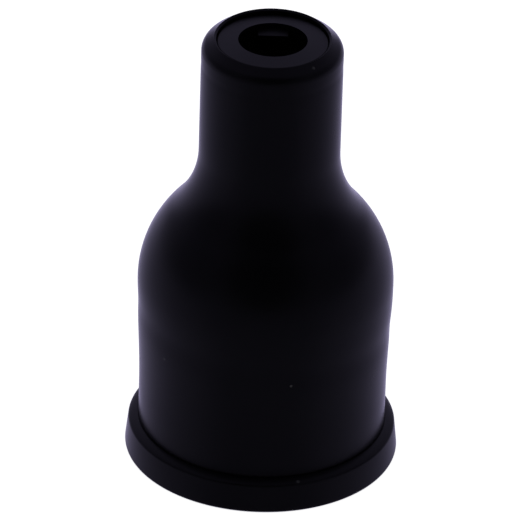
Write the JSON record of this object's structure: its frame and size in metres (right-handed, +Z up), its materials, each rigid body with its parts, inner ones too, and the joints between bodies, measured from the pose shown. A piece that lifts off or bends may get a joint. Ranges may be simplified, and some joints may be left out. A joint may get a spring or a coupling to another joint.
{
  "type": "dust blower bulb",
  "caption": "Rubber squeeze bulb on a foot ring, with a disc valve in its base and one in its neck, that blows air out through a bore for a pressed-in nozzle.",
  "frame": {"origin": "centre of the underside of the foot ring, on the bench", "axes": "+Z up along the axis of the bulb, towards the mouth"},
  "size_m": [0.0512, 0.0512, 0.0874],
  "materials": {
    "bulb_rubber": "satin moulded",
    "black_plastic": "satin moulded",
    "valve_rubber": "matt",
    "valve_brass": "turned",
    "band_steel": "rolled"
  },
  "bodies": {
    "base": {"squeeze_bulb": "bulb_rubber", "foot_ring": "bulb_rubber", "base_plate": "black_plastic", "base_gasket": "valve_rubber", "clamp_band": "band_steel", "inlet_valve_seat": "valve_brass", "inlet_valve_cage": "black_plastic"},
    "inlet_disc": {"inlet_valve_disc": "valve_rubber"},
    "neck": {"nozzle_bush": "black_plastic", "outlet_valve_seat": "valve_brass", "outlet_valve_cage": "black_plastic"},
    "outlet_disc": {"outlet_valve_disc": "valve_rubber"}
  },
  "joints": [
    {"name": "bulb_squeeze", "type": "slide", "parent": "base", "child": "neck", "axis": [0, 0, 1], "range_m": [-0.014, 0], "stiffness_N_per_m": 1200, "deforming": ["squeeze_bulb"]},
    {"name": "inlet_disc_lift", "type": "slide", "parent": "base", "child": "inlet_disc", "axis": [0, 0, 1], "range_m": [0, 0.001]},
    {"name": "outlet_disc_lift", "type": "slide", "parent": "neck", "child": "outlet_disc", "axis": [0, 0, 1], "range_m": [0, 0.001]}
  ]
}
